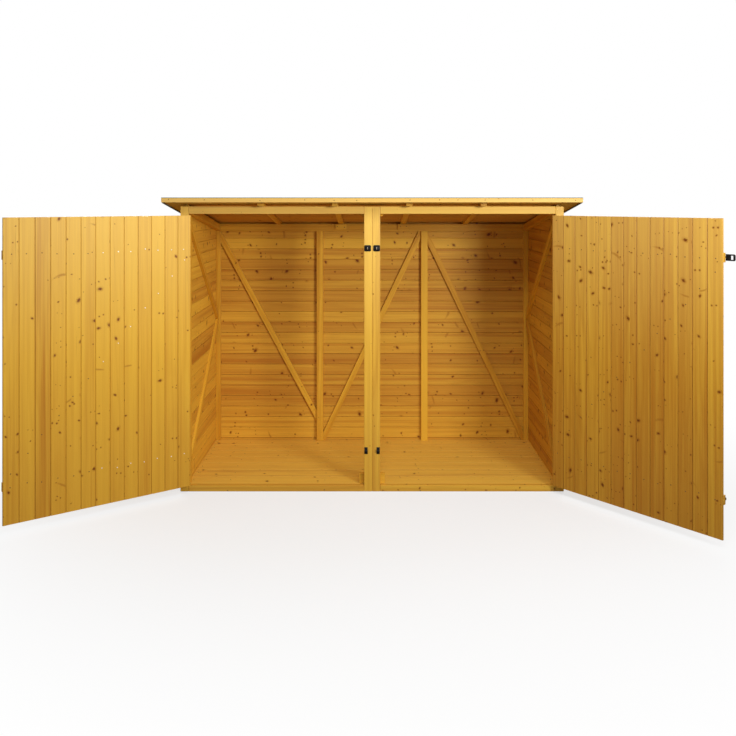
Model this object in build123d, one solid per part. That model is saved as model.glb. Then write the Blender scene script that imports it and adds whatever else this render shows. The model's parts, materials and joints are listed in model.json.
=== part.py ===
from build123d import *
import math
import os

# Bicycle shelter: a low timber shed with two ledged and braced doors across its whole front,
# a boarded floor, and a felted roof that falls to the back.
# Millimetres. +X runs to the right and +Y to the back, seen from in front, and +Z is up.
# The origin is on the ground, in the middle of the footprint, under the middle floor joist.

# Body
body_width = 1900.0          # over the outer faces of the front posts
body_depth = 790.0           # front face of the posts to outer face of the back boards
wall_board = 12.0            # thickness of the wall boards
side_setback = 18.0          # side boards stand this far inside the front posts
batten = 28.0                # thickness of the wall and roof framing, inward from the boards
stud_wide = 38.0             # face width of studs and wall rails
brace_thick = 15.0
brace_wide = 30.0

# Front frame
post_wide = 40.0
post_deep = 30.0
rail_tall = 38.0             # front top rails
door_head = 1375.0           # underside of the front top rails
sill_tall = 30.0
sill_deep = 30.0

# Floor
deck_thick = 12.0
joist_wide = 38.0
joist_spacing = 475.0        # between the four main joists

# Roof
roof_lift = 12.0             # roof boards above the front top rail, at its front face
roof_fall = 0.146            # drop for each unit of depth
roof_board = 15.0
roof_front = 90.0            # overhang in front of the posts
roof_back = 50.0             # overhang behind the back boards
roof_side = 69.0             # overhang beside the posts
felt = 3.0
felt_hang = 7.5              # felt turned down below the boards
fascia_thick = 14.0
fascia_drop = 6.0            # fascia below the boards' underside
rafter_wide = 30.0
rafter_deep = 12.0           # laths that lie on the front and back rails
rafter_tongue = 45.0         # rafter ends in front of the top rail
rafter_spacing = 365.0
rafter_bays = 3              # four rafters
cleat_wide = 66.0
cleat_tall = 30.0
cleat_thick = 14.0

# Wall framing
back_stud_offset = 307.0     # middle of each stud from the middle of the wall
left_brace_drop = 33.0       # back braces: middle line below the top rail at the upper end
left_brace_rise = 143.0      # and above the floor at the foot
middle_brace_drop = 6.0
middle_brace_rise = 10.0
right_brace_drop = 38.0
right_brace_rise = 10.0
side_brace_meet = 745.0      # height where the two braces of a side wall meet, at the back
side_brace_split = 19.0      # each brace's middle line from that meeting height
side_brace_drop = 56.0       # upper brace's middle line below the side rail, at the front
side_brace_rise = 110.0      # lower brace's middle line above the floor, at the front
front_batten_thick = 14.0
front_batten_wide = 28.0
rear_stud_deep = 15.0        # corner studs of the side walls

# Doors
door_gap = 6.0               # at each side of a door
door_gap_top = 7.0           # above a door
door_gap_low = 10.0          # below a door
door_board = 10.0
ledge_thick = 15.0
ledge_tall = 40.0
ledge_inset = 163.0          # middle of a ledge from the top or bottom of the door
door_brace_wide = 40.0
door_brace_inset = 15.0      # ends of the brace inside the edges of the door
left_door_open = 144.3       # how far each door stands open, in degrees from closed
right_door_open = 130.6

# Door stops behind the middle posts
stop_clear = 5.0             # behind the closed doors
stop_thick = 20.0
low_stop_wide = 128.0
low_stop_tall = 50.0
top_stop_wide = 120.0
top_stop_drop = 12.0         # shown below the top rail
top_stop_bevel = 8.0

# Strap hinges
plate_thick = 2.5
knuckle_radius = 4.5
knuckle_clear = 0.5          # knuckle off the timber, and between knuckles
pin_radius = 2.5
pin_clear = 0.1
hinge_plate_wide = 28.0
hinge_plate_tall = 76.0
strap_knuckle_tall = 32.0
strap_long = 250.0
strap_root = 32.0
strap_tip = 18.0
strap_start = 12.0           # parallel stretch beside the knuckle

# Hasps, staples, bolts and keepers
leaf_thick = 2.0
leaf_tall = 28.0
leaf_past_edge = 38.0        # leaf beyond the door's free edge
leaf_axis_inset = 8.0        # leaf's pin inside the door's free edge
leaf_corner = 7.0
left_leaf_folded = 118.0     # left leaf, in degrees from straight on towards the door
slot_wide = 9.5
slot_tall = 16.5
leaf_clear = 5.0             # leaf in front of the staple plate
hasp_knuckle = 4.0
hasp_pin = 1.8
hasp_base_long = 30.0
hasp_middle_tall = 10.0      # leaf's own knuckle
staple_centre = 22.5         # from the seam between the middle posts
staple_plate_wide = 34.0
staple_plate_tall = 31.0
staple_plate_thick = 2.0
staple_wire = 4.0
staple_tall = 14.0
staple_out = 17.5            # loop in front of its plate
bolt_plate_long = 60.0
bolt_plate_tall = 28.0
bolt_plate_thick = 2.0
bolt_radius = 4.0
bolt_clear = 0.8
bolt_long = 74.0
bolt_edge = 3.0              # drawn bolt inside the door's free edge
bolt_guide_long = 12.0
bolt_guide_wall = 2.0
knob_radius = 3.5
knob_out = 12.0
keeper_wide = 16.0
keeper_tall = 33.0
keeper_edge = 2.0            # keeper inside the post's edge on the door side

# Places that follow from the sizes
front_y = -body_depth / 2
back_y = body_depth / 2
post_back_y = front_y + post_deep
back_board_y = back_y - wall_board
back_frame_y = back_board_y - batten
post_outer_x = body_width / 2
post_inner_x = post_outer_x - post_wide
side_outer_x = post_outer_x - side_setback
side_inner_x = side_outer_x - wall_board
side_frame_x = side_inner_x - batten
frame_top = door_head + rail_tall
deck_top = sill_tall
joist_tall = sill_tall - deck_thick
sill_back_y = front_y + sill_deep
rail_lift = roof_lift - rafter_deep     # wall rails' tops above the front rail, at its front face
back_rail_foot = frame_top + rail_lift - roof_fall * (back_board_y - front_y) - stud_wide
side_rear_y = back_board_y - rear_stud_deep
door_face_y = front_y + ledge_thick
door_inner_y = door_face_y + door_board
door_low = sill_tall + door_gap_low
door_high = door_head - door_gap_top
hinge_x = post_inner_x - door_gap / 2
hinge_y = front_y - knuckle_radius - knuckle_clear
low_ledge_z = door_low + ledge_inset
top_ledge_z = door_high - ledge_inset
door_edge_x = post_wide + door_gap
leaf_axis_x = door_edge_x + leaf_axis_inset
leaf_back_y = front_y - staple_plate_thick - leaf_clear
leaf_axis_y = leaf_back_y - leaf_thick + hasp_knuckle
bolt_y = front_y - bolt_plate_thick - bolt_radius - bolt_clear
stop_y = door_inner_y + stop_clear
cut_reach = 100.0            # how far a cutting tool runs past what it cuts


def roof_under(y):
    """Height of the roof boards' underside."""
    return frame_top + roof_lift - roof_fall * (y - front_y)


def rail_top(y):
    """Height of the wall rails' tops, where the rafters lie."""
    return roof_under(y) - rafter_deep


def slab(x, y, z):
    """Squared timber or plate between two limits on each axis."""
    size = [limits[1] - limits[0] for limits in (x, y, z)]
    middle = [(limits[0] + limits[1]) / 2 for limits in (x, y, z)]
    return Pos(*middle) * Box(*size)


def side_profile(corners, x):
    """Outline of (y, z) corners carried across between two x limits."""
    outline = Polyline(*[(x[0], y, z) for y, z in corners], close=True)
    return extrude(make_face(outline), amount=x[1] - x[0], dir=(1, 0, 0))


def front_profile(corners, y):
    """Outline of (x, z) corners carried back between two y limits."""
    outline = Polyline(*[(x, y[0], z) for x, z in corners], close=True)
    return extrude(make_face(outline), amount=y[1] - y[0], dir=(0, 1, 0))


def under_roof(x, y, z_low):
    """Boards of a wall, up to the roof boards' underside."""
    corners = [(y[0], z_low), (y[1], z_low), (y[1], roof_under(y[1])), (y[0], roof_under(y[0]))]
    return side_profile(corners, x)


def under_rafters(x, y, z_low):
    """Timber whose top is level with the rafters' underside."""
    corners = [(y[0], z_low), (y[1], z_low), (y[1], rail_top(y[1])), (y[0], rail_top(y[0]))]
    return side_profile(corners, x)


def bar_corners(start, end, width, run_on):
    """Corners of a straight bar between two points, each end run on by a length."""
    length = math.dist(start, end)
    along = [(end[i] - start[i]) / length for i in (0, 1)]
    half = (-along[1] * width / 2, along[0] * width / 2)
    first = [start[i] - along[i] * run_on[0] for i in (0, 1)]
    last = [end[i] + along[i] * run_on[1] for i in (0, 1)]
    return [(first[0] + half[0], first[1] + half[1]), (last[0] + half[0], last[1] + half[1]),
            (last[0] - half[0], last[1] - half[1]), (first[0] - half[0], first[1] - half[1])]


def both(piece):
    """A piece and its mirror image across the middle of the shed."""
    return [piece, mirror(piece, about=Plane.YZ)]


def swing(piece, side):
    """Turn a closed door's piece to where that door stands open."""
    opening = left_door_open if side < 0 else right_door_open
    axis = Axis((side * hinge_x, hinge_y, 0), (0, 0, 1))
    return piece.rotate(axis, side * opening)


def on_door(piece, side):
    """Place ironwork that was made for the closed left door on the door of that side."""
    return swing(piece if side < 0 else mirror(piece, about=Plane.YZ), side)


# Floor
def floor_joists():
    """Four main joists, one under the middle and one along each side wall."""
    side = side_inner_x - joist_wide / 2
    middles = [-side, -1.5 * joist_spacing, -joist_spacing / 2, 0,
               joist_spacing / 2, 1.5 * joist_spacing, side]
    half = joist_wide / 2
    return [slab((middle - half, middle + half), (sill_back_y, back_board_y), (0, joist_tall))
            for middle in middles]


def floor_deck():
    return [slab((-side_inner_x, side_inner_x), (sill_back_y, back_board_y), (joist_tall, deck_top))]


# Front frame
def post(side, middle):
    """A front post: at the outer corner, or beside the seam in the middle."""
    near, far = (0, post_wide) if middle else (post_inner_x, post_outer_x)
    limits = sorted((side * near, side * far))
    return [slab(limits, (front_y, post_back_y), (0, frame_top))]


def sill(side):
    limits = sorted((side * post_wide, side * post_inner_x))
    return [slab(limits, (front_y, sill_back_y), (0, sill_tall))]


def top_rail(side):
    limits = sorted((side * post_wide, side * post_inner_x))
    return [slab(limits, (front_y, post_back_y), (door_head, frame_top))]


def top_stop():
    """Bevelled block that both doors close against, fixed behind the middle posts."""
    half = top_stop_wide / 2
    low = door_head - top_stop_drop
    corners = [(-half, door_head), (-half + top_stop_bevel, low), (half - top_stop_bevel, low),
               (half, door_head), (half, frame_top), (-half, frame_top)]
    return [front_profile(corners, (stop_y, stop_y + stop_thick))]


def bottom_stop():
    half = low_stop_wide / 2
    return [slab((-half, half), (stop_y, stop_y + stop_thick), (deck_top, deck_top + low_stop_tall))]


# Back wall
def back_wall():
    return [under_roof((-side_outer_x, side_outer_x), (back_board_y, back_y), 0)]


def back_top_rail():
    return [under_rafters((-side_frame_x, side_frame_x), (back_frame_y, back_board_y), back_rail_foot)]


def back_studs():
    half = stud_wide / 2
    stud = slab((back_stud_offset - half, back_stud_offset + half), (back_frame_y, back_board_y),
                (deck_top, back_rail_foot))
    return both(stud)


def back_braces():
    """One slanting brace in each of the three bays, cut to the timbers round it."""
    bay_side = back_stud_offset + stud_wide / 2
    inner_side = back_stud_offset - stud_wide / 2
    bays = [(-side_frame_x, -bay_side, left_brace_drop, left_brace_rise, 1),
            (-inner_side, inner_side, middle_brace_drop, middle_brace_rise, -1),
            (bay_side, side_frame_x, right_brace_drop, right_brace_rise, 1)]
    depth = (back_board_y - brace_thick, back_board_y)
    braces = []
    for low, high, drop, rise, way in bays:
        top = (low if way > 0 else high, back_rail_foot - drop)
        foot = (high if way > 0 else low, deck_top + rise)
        bar = front_profile(bar_corners(top, foot, brace_wide, (brace_wide, brace_wide)), depth)
        braces.append(bar & slab((low, high), depth, (deck_top, back_rail_foot)))
    return braces


# Side walls
def side_wall(side):
    limits = sorted((side * side_inner_x, side * side_outer_x))
    return [under_roof(limits, (post_back_y, back_board_y), 0)]


def side_studs(side):
    rear = under_rafters(sorted((side * side_frame_x, side * side_inner_x)),
                         (side_rear_y, back_board_y), deck_top)
    batten_x = sorted((side * (side_inner_x - front_batten_thick), side * side_inner_x))
    low, high = post_back_y, post_back_y + front_batten_wide
    corners = [(low, deck_top), (high, deck_top), (high, rail_top(high) - stud_wide),
               (low, rail_top(low) - stud_wide)]
    return [rear, side_profile(corners, batten_x)]


def side_top_rail(side):
    limits = sorted((side * side_frame_x, side * side_inner_x))
    low, high = post_back_y, side_rear_y
    corners = [(low, rail_top(low) - stud_wide), (high, rail_top(high) - stud_wide),
               (high, rail_top(high)), (low, rail_top(low))]
    return [side_profile(corners, limits)]


def side_braces(side):
    """Two braces that meet at the rear stud, half way up."""
    limits = sorted((side * (side_inner_x - brace_thick), side * side_inner_x))
    low, high = post_back_y + front_batten_wide, side_rear_y
    run_on = (brace_wide, brace_wide)
    top = rail_top(low) - stud_wide - side_brace_drop
    foot = deck_top + side_brace_rise
    upper = bar_corners((low, top), (high, side_brace_meet + side_brace_split), brace_wide, run_on)
    lower = bar_corners((low, foot), (high, side_brace_meet - side_brace_split), brace_wide, run_on)
    above = slab(limits, (low, high), (side_brace_meet, frame_top))
    below = slab(limits, (low, high), (deck_top, side_brace_meet))
    return [side_profile(upper, limits) & above, side_profile(lower, limits) & below]


# Roof
def rafters():
    """Rafters on the front and back rails, with a tongue under the front overhang."""
    nose = front_y - rafter_tongue
    rear = back_board_y
    corners = [(nose, frame_top), (post_back_y, frame_top), (post_back_y, rail_top(post_back_y)),
               (rear, rail_top(rear)), (rear, roof_under(rear)), (nose, roof_under(nose))]
    made = []
    for step in range(rafter_bays + 1):
        middle = (step - rafter_bays / 2) * rafter_spacing
        made.append(side_profile(corners, (middle - rafter_wide / 2, middle + rafter_wide / 2)))
    return made


def rafter_cleats():
    """Blocks on the back rail, under the two inner rafters."""
    low, high = back_frame_y - cleat_thick, back_frame_y
    top = rail_top(high)
    middle = rafter_spacing / 2
    return both(slab((middle - cleat_wide / 2, middle + cleat_wide / 2), (low, high),
                     (top - cleat_tall, top)))


def roof_deck():
    half = post_outer_x + roof_side
    low, high = front_y - roof_front + fascia_thick, back_y + roof_back
    corners = [(low, roof_under(low)), (high, roof_under(high)),
               (high, roof_under(high) + roof_board), (low, roof_under(low) + roof_board)]
    return [side_profile(corners, (-half, half))]


def fascia():
    half = post_outer_x + roof_side + felt
    low, high = front_y - roof_front, front_y - roof_front + fascia_thick
    foot = roof_under(low) - fascia_drop
    corners = [(low, foot), (high, foot), (high, roof_under(high) + roof_board),
               (low, roof_under(low) + roof_board)]
    return [side_profile(corners, (-half, half))]


def roof_felt():
    """Felt over boards and fascia, turned down at the sides and the back."""
    half = post_outer_x + roof_side
    front, fascia_back = front_y - roof_front, front_y - roof_front + fascia_thick
    back = back_y + roof_back

    def line(y, lift):
        return (y, roof_under(y) + lift)

    top = side_profile([line(front, roof_board), line(back + felt, roof_board),
                        line(back + felt, roof_board + felt), line(front, roof_board + felt)],
                       (-half - felt, half + felt))
    turn = side_profile([line(fascia_back, -felt_hang), line(back + felt, -felt_hang),
                         line(back + felt, roof_board), line(fascia_back, roof_board)],
                        (half, half + felt))
    rear = side_profile([line(back, -felt_hang), line(back + felt, -felt_hang),
                         line(back + felt, roof_board), line(back, roof_board)], (-half, half))
    return [top + both(turn) + rear]


# Doors, made closed and then swung open
def door_limits(side):
    return sorted((side * door_edge_x, side * (post_inner_x - door_gap)))


def door_boards(side):
    panel = slab(door_limits(side), (door_face_y, door_inner_y), (door_low, door_high))
    return [swing(panel, side)]


def door_ledges(side):
    made = []
    for middle in (low_ledge_z, top_ledge_z):
        ledge = slab(door_limits(side), (front_y, door_face_y),
                     (middle - ledge_tall / 2, middle + ledge_tall / 2))
        made.append(swing(ledge, side))
    return made


def door_brace(side):
    """Brace from the upper left to the lower right of the door, seen from outside."""
    low, high = door_limits(side)
    foot, top = low_ledge_z + ledge_tall / 2, top_ledge_z - ledge_tall / 2
    depth = (front_y, door_face_y)
    run_on = (door_brace_wide, door_brace_wide)
    bar = front_profile(bar_corners((low, top), (high, foot), door_brace_wide, run_on), depth)
    ends = (low + door_brace_inset, high - door_brace_inset)
    return [swing(bar & slab(ends, depth, (foot, top)), side)]


def upright_rod(x, y, radius, z):
    return Pos(x, y, (z[0] + z[1]) / 2) * Cylinder(radius, z[1] - z[0])


def level_rod(x, y, z, radius):
    return Pos((x[0] + x[1]) / 2, y, z) * Rot(0, 90, 0) * Cylinder(radius, x[1] - x[0])


# Strap hinges, made for the left door
def hinge_post_half(middle):
    """Plate on the post with the outer knuckles and the pin."""
    half = hinge_plate_tall / 2
    gap = strap_knuckle_tall / 2 + knuckle_clear
    edge = -hinge_x - knuckle_radius - knuckle_clear
    plate = slab((edge - hinge_plate_wide, edge), (front_y - plate_thick, front_y),
                 (middle - half, middle + half))
    piece = plate + upright_rod(-hinge_x, hinge_y, pin_radius, (middle - half, middle + half))
    for low, high in ((-half, -gap), (gap, half)):
        knuckle = upright_rod(-hinge_x, hinge_y, knuckle_radius, (middle + low, middle + high))
        bridge = slab((edge, -hinge_x), (front_y - plate_thick, front_y - knuckle_clear),
                      (middle + low, middle + high))
        piece = piece + knuckle + bridge
    return piece


def hinge_strap(middle):
    """Tapered strap on the ledge with the middle knuckle, bored for the pin."""
    root = -hinge_x + door_gap / 2
    half_root, half_tip = strap_root / 2, strap_tip / 2
    end = -hinge_x + strap_long - half_tip
    corners = [(root, middle - half_root), (root + strap_start, middle - half_root),
               (end, middle - half_tip), (end, middle + half_tip),
               (root + strap_start, middle + half_root), (root, middle + half_root)]
    depth = (front_y - plate_thick, front_y)
    strap = front_profile(corners, depth)
    tip = Pos(end, front_y - plate_thick / 2, middle) * Rot(90, 0, 0) * Cylinder(half_tip, plate_thick)
    half_knuckle = strap_knuckle_tall / 2
    knuckle = upright_rod(-hinge_x, hinge_y, knuckle_radius,
                          (middle - half_knuckle, middle + half_knuckle))
    bridge = slab((-hinge_x, root), (front_y - plate_thick, front_y - knuckle_clear),
                  (middle - half_knuckle, middle + half_knuckle))
    bore = upright_rod(-hinge_x, hinge_y, pin_radius + pin_clear,
                       (middle - cut_reach, middle + cut_reach))
    return strap + tip + knuckle + bridge - bore


def hinge_plates():
    made = []
    for middle in (low_ledge_z, top_ledge_z):
        made += both(hinge_post_half(middle))
    return made


def hinge_straps(side):
    return [on_door(hinge_strap(middle), side) for middle in (low_ledge_z, top_ledge_z)]


# Hasps, made for the left door
def hasp_base(side):
    """Plate on the upper ledge with two knuckles and the leaf's pin."""
    half = leaf_tall / 2
    gap = hasp_middle_tall / 2 + knuckle_clear
    edge = -leaf_axis_x - hasp_knuckle - knuckle_clear
    plate = slab((edge - hasp_base_long, edge), (front_y - leaf_thick, front_y),
                 (top_ledge_z - half, top_ledge_z + half))
    piece = plate + upright_rod(-leaf_axis_x, leaf_axis_y, hasp_pin,
                                (top_ledge_z - half, top_ledge_z + half))
    for low, high in ((-half, -gap), (gap, half)):
        z = (top_ledge_z + low, top_ledge_z + high)
        foot = slab((edge, -leaf_axis_x + hasp_knuckle), (leaf_axis_y, front_y), z)
        piece = piece + upright_rod(-leaf_axis_x, leaf_axis_y, hasp_knuckle, z) + foot
    return [on_door(piece, side)]


def hasp_leaf(side):
    """Slotted leaf that reaches over the staple, the left one folded back on its door."""
    depth = (leaf_back_y - leaf_thick, leaf_back_y)
    tip = -door_edge_x + leaf_past_edge
    root = -leaf_axis_x + hasp_knuckle + knuckle_clear
    half = leaf_tall / 2
    leaf = slab((root, tip), depth, (top_ledge_z - half, top_ledge_z + half))
    leaf = fillet(leaf.edges().filter_by(Axis.Y).group_by(Axis.X)[-1], leaf_corner)
    half_middle = hasp_middle_tall / 2
    z = (top_ledge_z - half_middle, top_ledge_z + half_middle)
    neck = slab((-leaf_axis_x, root), depth, z)
    knuckle = upright_rod(-leaf_axis_x, leaf_axis_y, hasp_knuckle, z)
    bore = upright_rod(-leaf_axis_x, leaf_axis_y, hasp_pin + pin_clear,
                       (top_ledge_z - cut_reach, top_ledge_z + cut_reach))
    slot = slab((-staple_centre - slot_wide / 2, -staple_centre + slot_wide / 2),
                (depth[0] - cut_reach, depth[1] + leaf_thick / 2),
                (top_ledge_z - slot_tall / 2, top_ledge_z + slot_tall / 2))
    piece = leaf + neck + knuckle - bore - slot
    if side < 0:
        piece = piece.rotate(Axis((-leaf_axis_x, leaf_axis_y, 0), (0, 0, 1)), -left_leaf_folded)
    return [on_door(piece, side)]


def staple_outline(radius, x, back):
    """Half-round nose of the given radius with straight legs back to a depth."""
    bend_y = front_y - staple_plate_thick - staple_out + staple_tall / 2
    legs = slab(x, (bend_y, back), (top_ledge_z - radius, top_ledge_z + radius))
    return legs + level_rod(x, bend_y, top_ledge_z, radius)


def hasp_staples():
    """Plate with a bent loop on each middle post, for a padlock."""
    half_wide, half_tall = staple_plate_wide / 2, staple_plate_tall / 2
    face = front_y - staple_plate_thick
    plate = slab((-staple_centre - half_wide, -staple_centre + half_wide), (face, front_y),
                 (top_ledge_z - half_tall, top_ledge_z + half_tall))
    loop_x = (-staple_centre - staple_wire / 2, -staple_centre + staple_wire / 2)
    eye_x = (loop_x[0] - cut_reach, loop_x[1] + cut_reach)
    eye = staple_outline(staple_tall / 2 - staple_wire, eye_x, face)
    return both(plate + (staple_outline(staple_tall / 2, loop_x, face) - eye))


# Bolts and keepers, made for the left door
def door_bolt(side):
    """Barrel bolt on the lower ledge, drawn back."""
    nose = -door_edge_x - bolt_edge
    tail = nose - bolt_long
    plate_x = (nose - bolt_plate_long, nose)
    half = bolt_plate_tall / 2
    piece = slab(plate_x, (front_y - bolt_plate_thick, front_y), (low_ledge_z - half, low_ledge_z + half))
    outer = bolt_radius + bolt_guide_wall
    for low in (plate_x[0], plate_x[1] - bolt_guide_long):
        guide_x = (low, low + bolt_guide_long)
        foot = slab(guide_x, (bolt_y, front_y), (low_ledge_z - outer, low_ledge_z + outer))
        piece = piece + level_rod(guide_x, bolt_y, low_ledge_z, outer) + foot
    knob_x = (plate_x[0] + plate_x[1]) / 2
    knob = Pos(knob_x, bolt_y - knob_out / 2, low_ledge_z) * Rot(90, 0, 0) * Cylinder(knob_radius, knob_out)
    return [on_door(piece + level_rod((tail, nose), bolt_y, low_ledge_z, bolt_radius) + knob, side)]


def bolt_keepers():
    """Bridge on each middle post that takes the door's bolt."""
    outer = -post_wide + keeper_edge
    x = (outer, outer + keeper_wide)
    hole = bolt_radius + bolt_clear
    wall = hole + bolt_guide_wall
    half = keeper_tall / 2
    tabs = slab(x, (front_y - bolt_plate_thick, front_y), (low_ledge_z - half, low_ledge_z + half))
    bridge = slab(x, (bolt_y, front_y), (low_ledge_z - wall, low_ledge_z + wall))
    piece = tabs + bridge + level_rod(x, bolt_y, low_ledge_z, wall)
    eye = level_rod((x[0] - cut_reach, x[1] + cut_reach), bolt_y, low_ledge_z, hole)
    return both(piece - eye)


sides = {"left": -1, "right": 1}
nodes = {
    "floor_joists": floor_joists(),
    "floor_deck": floor_deck(),
    "top_stop": top_stop(),
    "bottom_stop": bottom_stop(),
    "back_wall": back_wall(),
    "back_top_rail": back_top_rail(),
    "back_studs": back_studs(),
    "back_braces": back_braces(),
    "rafters": rafters(),
    "rafter_cleats": rafter_cleats(),
    "roof_deck": roof_deck(),
    "roof_felt": roof_felt(),
    "fascia": fascia(),
    "hinge_plates": hinge_plates(),
    "hasp_staples": hasp_staples(),
    "bolt_keepers": bolt_keepers(),
}
for word, side in sides.items():
    nodes[f"{word}_post"] = post(side, False)
    nodes[f"middle_{word}_post"] = post(side, True)
    nodes[f"{word}_sill"] = sill(side)
    nodes[f"{word}_top_rail"] = top_rail(side)
    nodes[f"{word}_wall"] = side_wall(side)
    nodes[f"{word}_wall_studs"] = side_studs(side)
    nodes[f"{word}_wall_rail"] = side_top_rail(side)
    nodes[f"{word}_wall_braces"] = side_braces(side)
    nodes[f"{word}_door_boards"] = door_boards(side)
    nodes[f"{word}_door_ledges"] = door_ledges(side)
    nodes[f"{word}_door_brace"] = door_brace(side)
    nodes[f"{word}_hinge_straps"] = hinge_straps(side)
    nodes[f"{word}_hasp_base"] = hasp_base(side)
    nodes[f"{word}_hasp_leaf"] = hasp_leaf(side)
    nodes[f"{word}_door_bolt"] = door_bolt(side)

os.makedirs("parts", exist_ok=True)
for name, solids in nodes.items():
    export_step(Compound(children=[piece.solid() for piece in solids]), f"parts/{name}.step")
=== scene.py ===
"""Bicycle shelter in honey-glazed spruce: the finish of every surface.

Laid out as an add-on. Each operator makes one group of pieces around the fixed frame.
Lengths are in metres. +X is to the right along the front, +Y to the back, +Z up.
"""
import json
import math
import random

import bmesh
import bpy
from bpy.props import FloatProperty, FloatVectorProperty, IntProperty, PointerProperty
from mathutils import Matrix, Vector

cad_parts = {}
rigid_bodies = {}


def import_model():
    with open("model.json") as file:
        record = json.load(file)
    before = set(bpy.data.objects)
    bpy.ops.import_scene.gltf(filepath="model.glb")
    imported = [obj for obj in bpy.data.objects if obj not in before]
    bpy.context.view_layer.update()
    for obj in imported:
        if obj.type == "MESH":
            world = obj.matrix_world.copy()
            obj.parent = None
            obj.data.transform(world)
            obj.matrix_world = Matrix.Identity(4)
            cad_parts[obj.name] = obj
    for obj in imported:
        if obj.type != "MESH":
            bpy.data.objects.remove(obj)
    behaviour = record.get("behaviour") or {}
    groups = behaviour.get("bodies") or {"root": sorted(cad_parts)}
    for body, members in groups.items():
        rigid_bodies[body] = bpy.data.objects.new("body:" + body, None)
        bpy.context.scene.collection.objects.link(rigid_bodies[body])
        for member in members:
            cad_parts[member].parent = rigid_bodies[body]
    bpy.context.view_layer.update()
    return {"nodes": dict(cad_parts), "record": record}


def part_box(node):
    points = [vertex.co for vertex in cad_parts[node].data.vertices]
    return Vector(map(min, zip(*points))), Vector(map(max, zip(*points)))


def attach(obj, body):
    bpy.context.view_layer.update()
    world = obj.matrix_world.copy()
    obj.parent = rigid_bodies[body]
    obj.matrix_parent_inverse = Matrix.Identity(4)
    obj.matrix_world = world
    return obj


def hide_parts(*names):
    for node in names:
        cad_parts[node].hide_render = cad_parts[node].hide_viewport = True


bl_info = {
    "name": "Bicycle shelter",
    "version": (1, 0, 0),
    "blender": (4, 5, 0),
    "location": "View3D > Sidebar > Shelter",
    "description": "Boards, framing, felt and ironwork of a small timber bicycle shelter",
    "category": "Object",
}

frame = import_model()

MM = 0.001
SIDES = {"left": -1, "right": 1}


def linear(code):
    """An sRGB hex colour as linear red, green and blue."""
    parts = [int(code[i:i + 2], 16) / 255 for i in (0, 2, 4)]
    return [p / 12.92 if p <= 0.04045 else ((p + 0.055) / 1.055) ** 2.4 for p in parts]


def limits(name):
    """Lowest and highest corner of a node at rest."""
    low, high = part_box(name)
    return Vector(low), Vector(high)


# Sizes and colours that a user would change

def metres(name, description, default):
    return FloatProperty(name=name, description=description, default=default, unit="LENGTH")


def boards(name, description, default):
    return IntProperty(name=name, description=description, default=default, min=1)


def colour(name, description, code):
    return FloatVectorProperty(name=name, description=description, subtype="COLOR", size=3,
                               min=0, max=1, default=linear(code))


class BoardSizes(bpy.types.PropertyGroup):
    """Widths of the boards, the shape of their joints and the sizes of the fasteners."""
    wall_course: metres("Wall course", "Height that one wall board covers", 62 * MM)
    first_joint: metres("First joint", "Height of the lowest joint in the walls", 42 * MM)
    door_count: boards("Door boards", "Upright boards in one door", 13)
    floor_count: boards("Floor boards", "Boards from the front to the back", 7)
    roof_count: boards("Roof boards", "Boards from the front to the back", 8)
    arris: metres("Board arris", "Chamfer beside each joint", 1.6 * MM)
    outer_arris: metres("Outer arris", "Chamfer of the outdoor V-joints", 3.0 * MM)
    joint: metres("Joint", "Open width of a joint above its tongue", 0.9 * MM)
    eased: metres("Eased edge", "Rounding of the posts, rails and sills", 2.8 * MM)
    batten_eased: metres("Eased batten edge", "Rounding of studs, braces, rafters and ledges",
                         1.3 * MM)
    nail_head: metres("Nail head", "Radius of a nail's head", 3.0 * MM)
    clout_head: metres("Clout head", "Radius of a felt nail's head", 5.0 * MM)
    clout_pitch: metres("Clout spacing", "Felt nails along the edges", 100 * MM)
    screw_head: metres("Screw head", "Radius of a screw's head", 3.4 * MM)


class Finishes(bpy.types.PropertyGroup):
    """Colours of the glaze, the knots, the felt and the metal."""
    pale: colour("Pale grain", "Early wood under the glaze", "EBB93A")
    deep: colour("Deep grain", "Late wood under the glaze", "CC9226")
    tan: colour("Tan board", "What the redder boards lean towards", "CF9028")
    # Also paints the shade at the foot of the doors and the front frame
    dark_board_and_shade: colour("Dark board", "What the darkest boards lean towards", "B07424")
    streak: colour("Resin streak", "Red-brown bands that run along a board", "B06C16")
    knot: colour("Knot", "Heart of a knot", "6A2E02")
    # Also paints the sheen and light on the upper part of the doors and the front frame
    pale_glaze_and_sheen: colour("Thin glaze", "Wood where the glaze is thin", "F2D27C")
    halo: colour("Knot ring", "Resin-rich wood round a knot", "9C5C14")
    seam: colour("Seam", "Glaze that stands in a joint", "8A5414")
    end: colour("End grain", "Sawn ends, which drink more glaze", "A06A28")
    felt: colour("Felt grit", "Mineral grit on the roofing felt", "7E8173")
    bitumen: colour("Bitumen", "Felt between the grit", "3A3B36")
    iron: colour("Coated iron", "Black coating of the ironwork", "0D0B0A")
    # A painted highlight on the nose of each staple's loop, as bright bare steel
    nose_highlight: colour("Worn loop", "Bare steel where a padlock rubs", "8E8478")
    zinc: colour("Zinc", "Plated nail heads", "EEEEE8")
    glazed_nail: colour("Glazed nail", "Nail heads under the glaze", "6A4A24")


class StudioSettings(bpy.types.PropertyGroup):
    """Camera and lamps."""
    eye_height: metres("Eye height", "Camera above the ground", 1.439)
    eye_distance: metres("Eye distance", "Camera in front of the posts", 4.03)
    lens: FloatProperty(name="Lens", description="Focal length in millimetres", default=39.8)
    sky: FloatProperty(name="Sky", description="Strength of the plain surroundings", default=0.39)
    key: FloatProperty(name="Key lamp", description="Power of the large lamp at the right",
                       default=47)
    high: FloatProperty(name="High lamp", description="Power of the lamp above the front",
                        default=53)
    rear: FloatProperty(name="Rear lamps", description="Power of each lamp behind the shelter",
                        default=60)


# Modelling helpers

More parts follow.
